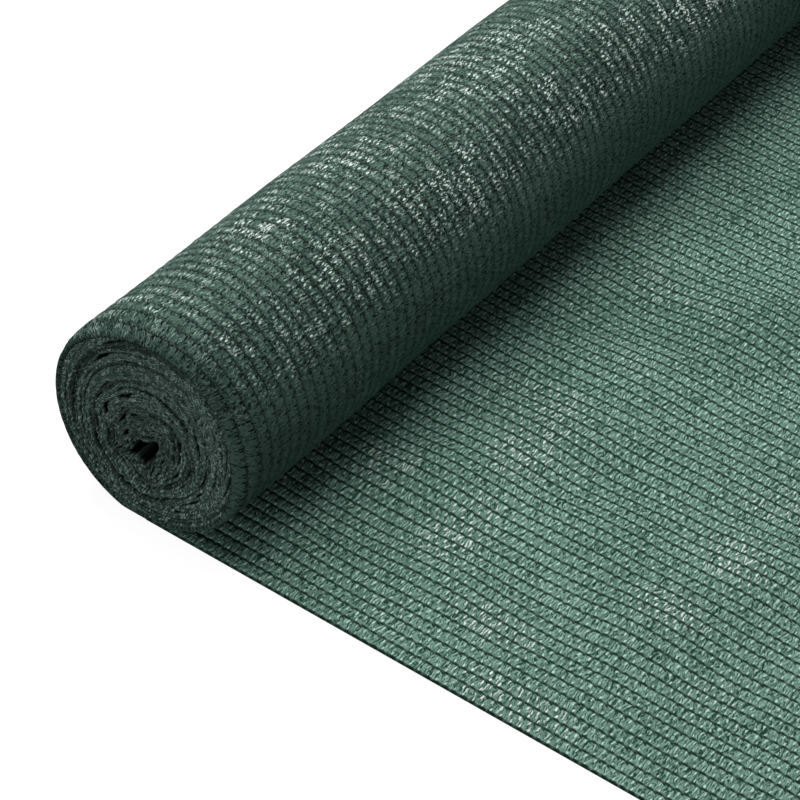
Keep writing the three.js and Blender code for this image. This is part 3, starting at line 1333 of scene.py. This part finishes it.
@dataclass(frozen=True)
class KnitFront:
    """The knit's front: pale tape loops in rows, their paleness partly painted highlight, dark chain
    stitches with hooks between them, and painted sheen and glints.

    Fields: the roll and the knit, the colours, how the marks stray, the long and the fine
    strands and how much each shows, the marks of one stitch, and the patches of painted sheen
    and the broad pool of painted light.
    """

    form: RollForm
    knit: Knit
    tape: Colour = (138, 176, 162)
    gap: Colour = (14, 60, 46)
    chain: Colour = (0, 40, 27)
    # strand: colour of the pale loop marks, the loops' pattern made paler as painted highlight
    strand: Colour = (190, 226, 212)
    # painted glint: colour of the painted highlights
    painted_glint: Colour = (248, 254, 250)
    gloss: float = 0.16
    bump: Pair = (0.4 * MM, 0.7)
    stray: Stray = Stray((0.7, 0.8), (2.2, 2.6), (0.06, 0.1), (0.5, 0.24))
    long: Strands = Strands(3.5, 0.0, 1.4, 3.0, (0.04, 0.5), (1.0, 0.5), 0.5)
    fine: Strands = Strands(6.6, 0.8, 2.4, 17.0, (0.04, 0.7), (1.0, 0.6), 0.5)
    tone: float = 0.44
    long_contrast: float = 1.6
    fine_contrast: float = 1.4
    grain_contrast: float = 1.3
    dark_marks: tuple[Mark, ...] = (
        Mark(0.64, 0.0, 0.95, 0.36, 90),
        Mark(0.13, 0.88, 1.0, 0.34, -52),
        Mark(0.05, 0.985, 0.45, 0.3, 90, 0.8),
        Mark(0.1, 0.45, 1.9, 0.2, -12, 0.45),
    )
    # pale marks: the loops' pattern, painted paler as highlight
    pale_marks: tuple[Mark, ...] = (
        Mark(0.3, 0.2, 0.8, 0.32, 0, 0.85),
        Mark(0.85, 0.72, 0.95, 0.3, 0, 0.85),
    )
    # a broad pool of painted light, away from the roll by the near edge
    painted_light_pool: PaintedSheen = PaintedSheen(250, 60, 210, 290)
    # small patches of painted sheen
    painted_sheens: tuple[PaintedSheen, ...] = (
        PaintedSheen(82, 113, 16, 22),
        PaintedSheen(77, 141, 20, 14),
        PaintedSheen(86, 64, 14, 26),
        PaintedSheen(166, 113, 22, 14),
        PaintedSheen(160, 77, 18, 14),
        PaintedSheen(48, 76, 14, 16),
        PaintedSheen(142, 8, 30, 12),
        PaintedSheen(118, 34, 24, 10),
    )

    def light(self, sketch: ShaderSketch, along: Value, across: Value) -> Value:
        """How light the cloth is, about 1: in broad random clouds of tone, and paler in a broad pool of
        painted light.
        """
        cloud = sketch.noise(along, across, (0.06, 0.09), 7.0, 2.0)
        return (cloud * 1.2 + 0.43) * (self.painted_light_pool.at(along, across, self.form, self.knit) * 0.3 + 1)

    def patches(self, sketch: ShaderSketch, along: Value, across: Value) -> Value:
        """Where the cloth is painted with sheen, as if it caught the light.

        Args:
            sketch: the material.
            along: place along the cloth, in stitches.
            across: place across it, in rows.

        Returns:
            How much painted sheen each place gets, from 0 to 1.
        """
        patch = sketch.noise(along, across, (0.05, 0.08), 2.0, 2.0).step(0.56, 0.74)
        for sheen in self.painted_sheens:
            patch = patch.most(sheen.at(along, across, self.form, self.knit))
        return patch

    def material(self) -> bpy.types.Material:
        """Builds the front's material.

        Returns:
            The material.
        """
        sketch = ShaderSketch("knit_front")
        along, across = sketch.cloth()
        stitch, row, quiver, shiver = self.stray.at(sketch, along, across)
        bead = (stitch + 0.4 + quiver * 0.3).from_whole().step(0.4, 0.15)
        line = (row.from_whole() - bead * 0.03).step(0.12, 0.03)
        long, draw, shadow = self.long.over(sketch, stitch, row, quiver)
        # fine strands; their third mask is a painted shadow beside each
        fine, speck, fine_shadow = self.fine.over(sketch, stitch, row, shiver)
        grain = sketch.noise(along, across, (3.4, 3.0), 5.0, 2.0) - 0.5
        # random clouds of tone, and a broad pool of painted light
        light = self.light(sketch, along, across)
        # where painted sheen lies
        patch = self.patches(sketch, along, across)
        tone = self.tone + long * (draw - 0.42) * self.long_contrast
        tone = tone + fine * (speck - 0.4) * self.fine_contrast + grain * self.grain_contrast
        # painted shadows beside the long and the fine strands darken the tone
        tone = tone - shadow * draw * 0.6 - fine_shadow * speck.step(0.4, 0.9) * 0.7
        tone = tone * light
        # pale loop marks: the loops' pattern, painted paler as highlight, more so where painted light
        # falls
        pale = sketch.repeat(stitch, row, self.knit, self.pale_marks, 50.0) * light * (tone + 0.5)
        # painted highlights: glint colour over pale marks and long strands in the painted sheen
        painted_highlight = pale * (patch * 0.8 + 0.05) + long * draw.step(0.6, 0.95) * patch * 0.6
        dark = sketch.repeat(stitch, row, self.knit, self.dark_marks, 70.0)
        dark = dark.most(line * (bead * 0.3 + 0.68))
        colour = sketch.coats(
            self.gap, (tone, self.tape), (pale, self.strand), (painted_highlight, self.painted_glint), (dark, self.chain)
        )
        roughness = 0.7 - (pale * (1 - dark)).clamp() * 0.3
        height = tone * 0.5 + pale * 0.7 - dark * 0.9
        return sketch.finish_cloth(self.gloss, colour, roughness, height, self.bump)


@dataclass(frozen=True)
class KnitBack:
    """The knit's back, which shows on the roll: dark teeth beside each row line, pale strands
    between them, partly painted highlight, and small painted glints lower down, where the tone is
    painted darker as shade.

    Fields: as in the front. Headings are degrees round the roll's axis, from +X towards +Z:
    where painted sparkle and painted shade come in and are full, the middle, reach and core of a
    band of duller painted glints, and where the marks fade into a plainer tone, as painted shade,
    and are nearly gone. Then the rows over which the rim's plainer cloth, painted darker as shade,
    ends.
    """

    form: RollForm
    knit: Knit
    tape: Colour = (112, 146, 133)
    base: Colour = (20, 46, 37)
    deep: Colour = (0, 8, 5)
    # strand: colour of the pale strands, made paler as painted highlight
    strand: Colour = (184, 212, 201)
    # painted glint: colour of the painted glints on the roll
    painted_glint: Colour = (240, 252, 247)
    gloss: float = 0.16
    bump: Pair = (0.35 * MM, 0.7)
    stray: Stray = Stray((0.6, 0.8), (2.4, 2.8), (0.1, 0.16), (0.3, 0.2))
    long: Strands = Strands(3.0, 0.5, 1.0, 3.0, (0.1, 0.7), (1.0, 0.7), 0.42)
    fine: Strands = Strands(5.4, 0.0, 1.6, 13.0, (0.02, 0.8), (0.98, 0.8), 0.46)
    tone: float = 0.4
    # tone that the shaded underside is painted towards, its marks faded, as painted shade
    shaded_plain_tone: float = 0.95
    long_contrast: float = 0.9
    soft_contrast: float = 0.3
    grain_contrast: float = 1.5
    dark_marks: tuple[Mark, ...] = (
        Mark(0.59, 0.82, 0.95, 0.36, 8, 1.2),
        Mark(0.3, 0.95, 0.55, 0.3, 60, 1.1),
        Mark(0.86, 0.98, 0.6, 0.26, 60, 0.9),
    )
    pale_marks: tuple[Mark, ...] = (
        Mark(0.28, 0.34, 0.8, 0.36, 0, 1.0),
        Mark(0.82, 0.5, 0.8, 0.28, 6, 1.0),
    )
    # headings where the lower side is painted darker as shade, with more small painted glints
    painted_sparkle_band: Pair = (80, 64)
    # a band of duller painted glints
    painted_dull_band: tuple[float, float, float] = (79, 10, 3)
    # headings where the marks fade into a plainer tone on the shaded underside, as painted shade
    shaded_plain_band: Pair = (42, 22)
    # rows where the rim's cloth gets plainer and is painted darker as shade
    rim_rows: Pair = (3.4, 0.4)

    def heading(self, along: Value) -> Value:
        """Degrees round the roll's axis, from +X towards +Z, at a place along the cloth."""
        start = self.form.loose_reach / self.knit.stitch_pitch
        return 270 - (along - start) * math.degrees(self.knit.stitch_pitch / self.form.radius)

    def material(self) -> bpy.types.Material:
        """Builds the back's material.

        Returns:
            The material.
        """
        sketch = ShaderSketch("knit_back")
        along, across = sketch.cloth()
        stitch, row, quiver, shiver = self.stray.at(sketch, along, across)
        # long strands; their third mask, under, is a painted shadow beside each
        long, tint, under = self.long.over(sketch, stitch, row, quiver)
        # fine strands; their third mask is a painted shadow beside each
        fine, speck, fine_shadow = self.fine.over(sketch, stitch, row, quiver)
        # short dashes; their third mask is a painted shadow beside each
        bit, lot, dash_shadow = sketch.dashes(
            stitch * 5.9 + shiver * 2.0, row * 3.1 + quiver * 1.4, 30.0, (0.56, 0.66)
        )
        soft = sketch.noise(along, across, (0.12, 0.12), 6.0, 2.0) - 0.5
        grain = sketch.noise(along, across, (4.0, 5.0), 9.0, 2.0) - 0.5
        # clumps and patches where painted glints gather
        glint_clump = sketch.noise(along, row.floor(), (0.45, 7.3), 2.0).step(0.36, 0.6)
        patch = sketch.noise(along, across, (0.07, 0.09), 2.0).step(0.42, 0.62)
        heading = self.heading(along)
        # a band where painted glints are duller
        middle, reach, core = self.painted_dull_band
        painted_dull = (heading + soft * 16 - middle).abs().step(reach, core)
        # the roll's lower side: painted darker as shade, with more small painted glints
        low = (heading + soft * 16).step(*self.painted_sparkle_band)
        # lowest on the roll, marks fade into a plainer tone, as painted shade
        shaded_plain = (heading + soft * 20).step(*self.shaded_plain_band)
        # the rim's rows: plainer, and painted darker as shade
        rim = across.step(*self.rim_rows)
        off_rim = 1 - rim * 0.7
        bead = (stitch * 2 + quiver).from_whole().step(0.34, 0.16)
        line = row.from_whole().step(0.11, 0.04) * off_rim * (bead * 0.5 + 0.6) * (1 - shaded_plain * 0.6)
        # pale strands: the tape's pattern, brightened in clumps as painted highlight
        pale = sketch.repeat(stitch, row, self.knit, self.pale_marks, 50.0) * (1 - rim * 0.8)
        pale = pale.most(bit * lot.step(0.5, 0.85) * 0.75) * (1 - shaded_plain * 0.8)
        pale = pale * (glint_clump * (patch * 0.7 + 0.6) * (1 - low * 0.2) + 0.18 + low * 0.1)
        pale = pale * (1 - painted_dull * 0.4) * (1 - rim * 0.4)
        dark = sketch.repeat(stitch, row, self.knit, self.dark_marks, 70.0)
        dark = dark.most(line * 0.68).most(fine_shadow * speck.step(0.5, 0.9) * 0.8 * off_rim)
        dark = dark.most(under * tint.step(0.45, 0.8) * 0.95 * (1 - shaded_plain * 0.6) * off_rim)
        dark = dark.most(bit * lot.step(0.45, 0.15))
        # tone, less the painted shadows beside the dashes, and darker at the rim as painted shade
        tone = self.tone + soft * self.soft_contrast + grain * self.grain_contrast
        tone = tone + (fine * (speck - 0.4) + long * (tint - 0.45) * self.long_contrast) * off_rim
        tone = lerp(tone, self.shaded_plain_tone, shaded_plain * 0.5) - dash_shadow * lot * 0.3 - rim * 0.1
        # painted shade: darker tone on the roll's lower side
        tone = tone * (1 - low * 0.4)
        # painted glints on the roll, in clumps and patches, duller in one band, fewer at the rim and low
        # down
        painted_highlight = long * (1 - rim * 0.8) * (1 - shaded_plain * 0.9) * tint.step(0.55, 0.9)
        painted_highlight = painted_highlight * (glint_clump * (patch * 0.7 + 0.25)) * (1 - painted_dull * 0.6)
        painted_highlight = painted_highlight.most(pale * (pale - 0.35) * (low * 0.9 + 0.8))
        # deep covers the dark teeth and row lines, and the painted shadows beside strands
        colour = sketch.coats(
            self.base,
            (tone, self.tape),
            (pale * 0.9, self.strand),
            (dark * (1 - painted_highlight.clamp()), self.deep),
            (painted_highlight, self.painted_glint),
        )
        roughness = 0.75 - (pale + painted_highlight).clamp() * 0.3
        height = tone * 0.5 + pale * 0.5 - dark
        return sketch.finish_cloth(self.gloss, colour, roughness, height, self.bump)


@dataclass(frozen=True)
class TurnEdges:
    """The cloth's edges in an end face: short pale worms of tape, each with a painted shadow beside
    it, over darker cloth, painted near black as shade in the gaps between the turns.

    Fields: the colours, the deep one being the painted shade of the gaps, and the leans in radians and
    the seeds of the layers of worms.
    """

    tape: Colour = (164, 196, 184)
    gap: Colour = (46, 68, 61)
    # deep: painted shade of the gaps between the turns
    deep: Colour = (5, 12, 10)
    gloss: float = 0.2
    bump: Pair = (0.5 * MM, 0.8)
    layers: tuple[Pair, ...] = ((0.3, 3.0), (1.4, 20.0), (2.4, 40.0))
    worm_size: Pair = (0.46, 0.7)

    def material(self) -> bpy.types.Material:
        """Builds the edges' material.

        Returns:
            The material.
        """
        sketch = ShaderSketch("turn_edges")
        x, z = sketch.cloth()
        bend = (sketch.noise(x, z, (0.5, 0.5)) - 0.5) * 3.0
        swerve = (sketch.noise(x, z, (0.5, 0.5), 8.0) - 0.5) * 3.0
        tone = (sketch.noise(x, z, (1.1, 1.1), 3.0) - 0.3) * 0.5
        for lean, seed in self.layers:
            lane = x * math.cos(lean) + z * math.sin(lean) + bend
            run = z * math.cos(lean) - x * math.sin(lean) + swerve
            worm, draw, gap = sketch.dashes(lane * 0.85, run * 0.5, seed, self.worm_size)
            # gap here is the painted shadow beside each worm
            tone = tone.most(worm * (draw * 1.25 - 0.3)) - gap * draw.step(0.4, 0.8) * 0.35
        # the deep colour is laid by the painted gap shade
        colour = sketch.coats(self.gap, (tone, self.tape), (sketch.painted_gap_shade(), self.deep))
        roughness = 0.75 - tone.clamp() * 0.15
        return sketch.finish_cloth(self.gloss, colour, roughness, tone, self.bump)


@dataclass(frozen=True)
class InsideFinish:
    """The inside of the roll, softly mottled."""

    cloth: Colour = (96, 118, 111)
    deep: Colour = (62, 80, 75)
    gloss: float = 0.2
    bump: Pair = (0.6 * MM, 0.6)

    def material(self) -> bpy.types.Material:
        """Builds the inside's material.

        Returns:
            The material.
        """
        sketch = ShaderSketch("roll_inside")
        weave = sketch.noise(*sketch.cloth(), (2.0, 2.0), detail=3.0, rough=0.6)
        colour = sketch.coats(self.deep, (weave.step(0.35, 0.7), self.cloth))
        return sketch.finish_cloth(self.gloss, colour, 0.9 - weave * 0.1, weave, self.bump)


@dataclass(frozen=True)
class FloorFinish:
    """A plain pale floor that glows a little, so that it stays white."""

    tone: Colour = (250, 250, 250)
    paint: Colour = (120, 120, 120)
    glow: float = 0.97

    def material(self) -> bpy.types.Material:
        """Builds the floor's material.

        Returns:
            The material.
        """
        fixed = {
            "Base Color": shade(self.paint),
            "Roughness": 0.9,
            "Specular IOR Level": 0.1,
            "Emission Color": shade(self.tone),
            "Emission Strength": self.glow,
        }
        return ShaderSketch("floor_white").finish(fixed, {})


@dataclass(frozen=True)
class Lamp:
    """A soft area light: its name, place and target in metres, size in metres and power in watts."""

    name: str
    place: tuple[float, float, float]
    target: tuple[float, float, float]
    size: float
    power: float

    def build(self) -> None:
        """Adds the light, facing its target."""
        data = bpy.data.lights.new(self.name, "AREA")
        data.shape = "DISK"
        data.size, data.energy = self.size, self.power
        lamp = bpy.data.objects.new(self.name, data)
        lamp.location = self.place
        aim = Vector(self.target) - Vector(self.place)
        lamp.rotation_euler = aim.to_track_quat("-Z", "Y").to_euler()
        bpy.context.scene.collection.objects.link(lamp)


@dataclass
class Studio:
    """The floor, the soft light and the camera at the photograph's viewing angle.

    Fields: the roll; the camera's azimuth, elevation and bank in degrees, its lens and film in
    millimetres, how near it sees and its place from the near end of the roll's axis, in metres;
    the sky's strength; and the floor's size and how far it lies under the netting.
    """

    form: RollForm
    azimuth: float = 28.714
    elevation: float = 40.505
    bank: float = 8.273
    lens: float = 135.0
    film: float = 36.0
    clip: float = 0.05
    eye: tuple[float, float, float] = (420.3 * MM, -601.6 * MM, 690.7 * MM)
    sky: float = 0.14
    floor_size: float = 8.0
    floor_drop: float = 0.2 * MM

    def add_floor(self) -> None:
        """Adds a wide plain floor under the netting."""
        half = self.floor_size / 2
        corners = np.array([[-half, -half, 0], [half, -half, 0], [half, half, 0], [-half, half, 0]])
        floor = add_mesh("floor", corners - np.array([0, 0, self.floor_drop]), [[0, 1, 2, 3]])
        floor.data.materials.append(FloorFinish().material())
        floor.visible_diffuse = floor.visible_glossy = False

    def add_light(self) -> None:
        """Adds an even pale sky, a key lamp from the upper left behind the roll and a fill."""
        world = bpy.data.worlds.new("sky")
        world.use_nodes = True
        background = world.node_tree.nodes["Background"]
        background.inputs[0].default_value = (1, 1, 1, 1)
        background.inputs[1].default_value = self.sky
        bpy.context.scene.world = world
        axis_x = self.form.axis_x
        Lamp("key_light", (-0.74, 0.3, 2.0), (axis_x + 0.1, -0.25, 0.0), 2.1, 56).build()
        Lamp("fill_light", (-0.3, -3.0, 0.7), (axis_x, -0.5, 0.04), 1.2, 18).build()

    def add_camera(self) -> None:
        """Adds the camera, banked a little, at the photograph's place."""
        az, el, bank = (math.radians(a) for a in (self.azimuth, self.elevation, self.bank))
        ahead = Vector((-math.sin(az) * math.cos(el), math.cos(az) * math.cos(el), -math.sin(el)))
        level = Vector((math.cos(az), math.sin(az), 0))
        above = level.cross(ahead)
        right = level * math.cos(bank) + above * math.sin(bank)
        up = above * math.cos(bank) - level * math.sin(bank)
        data = bpy.data.cameras.new("camera")
        data.lens, data.sensor_width, data.clip_start = self.lens, self.film, self.clip
        camera = bpy.data.objects.new("camera", data)
        turn = Matrix((right, up, -ahead)).transposed().to_4x4()
        turn.translation = Vector((self.form.axis_x, self.form.near, 0)) + Vector(self.eye)
        camera.matrix_world = turn
        bpy.context.scene.collection.objects.link(camera)
        bpy.context.scene.camera = camera

    def build(self) -> None:
        """Adds the whole studio."""
        self.add_camera()
        self.add_floor()
        self.add_light()
        view = bpy.context.scene.view_settings
        view.view_transform, view.look = "Standard", "None"


def build_cloth(form: RollForm, knit: Knit) -> list[ClothPanel]:
    """Builds the cloth that shows: the loose end and the outer turn, each in two halves.

    Args:
        form: the roll's form.
        knit: the knit's sizes.

    Returns:
        The panels.
    """
    path = ClothPath(form, knit)
    rows = round(form.width / knit.row_pitch)
    middle = rows // 2
    loose = round(form.loose_reach / knit.stitch_pitch)
    end = loose + round(path.round_length / knit.stitch_pitch)
    halves = {"near": (0, middle), "far": (middle, rows)}
    front, back = KnitFront(form, knit).material(), KnitBack(form, knit).material()
    panels = []
    for half, span in halves.items():
        laid = ClothPanel(f"loose_end_{half}", path, Face.FRONT, (0, loose), span)
        turn = ClothPanel(f"outer_turn_{half}", path, Face.BACK, (loose, end), span, back_stitches=1)
        for panel, finish in ((laid, front), (turn, back)):
            panel.build()
            panel.dress(finish)
            panels.append(panel)
    return panels


def declare_cloth(panels: list[ClothPanel], ends: list[WoundEnd], body: WoundBody) -> None:
    """Works out which pieces go with each outer panel, the wound turns and on the near side the roll's
    inside, and reads each panel's flat size; it keeps neither.

    Args:
        panels: the cloth's panels.
        ends: the wound turns at the two ends.
        body: the inside of the roll.
    """
    for panel in panels:
        near = panel.name.endswith("near")
        going = []
        if panel.name.startswith("outer_turn"):
            going = [end.piece for end in ends if (end.end is End.NEAR) == near]
            going += [body.piece] if near else []
        panel.flat_size


def main() -> None:
    """Builds the studio and the netting in order and reports each piece."""
    logging.basicConfig(level=logging.INFO, format="%(message)s")
    form, knit = RollForm(), Knit()
    Studio(form).build()
    panels = build_cloth(form, knit)
    edges, inside = TurnEdges().material(), InsideFinish().material()
    ends = [WoundEnd(form, end) for end in End]
    body = WoundBody(form)
    for made, finish in (*((end, edges) for end in ends), (body, inside)):
        made.build()
        made.dress(finish)
    declare_cloth(panels, ends, body)
    for made in (*panels, *ends, body):
        mesh = made.piece.data
        triangles = sum(len(polygon.vertices) - 2 for polygon in mesh.polygons)
        LOG.info("%s: %d triangles", made.piece.name, triangles)


if __name__ == "__main__":
    main()
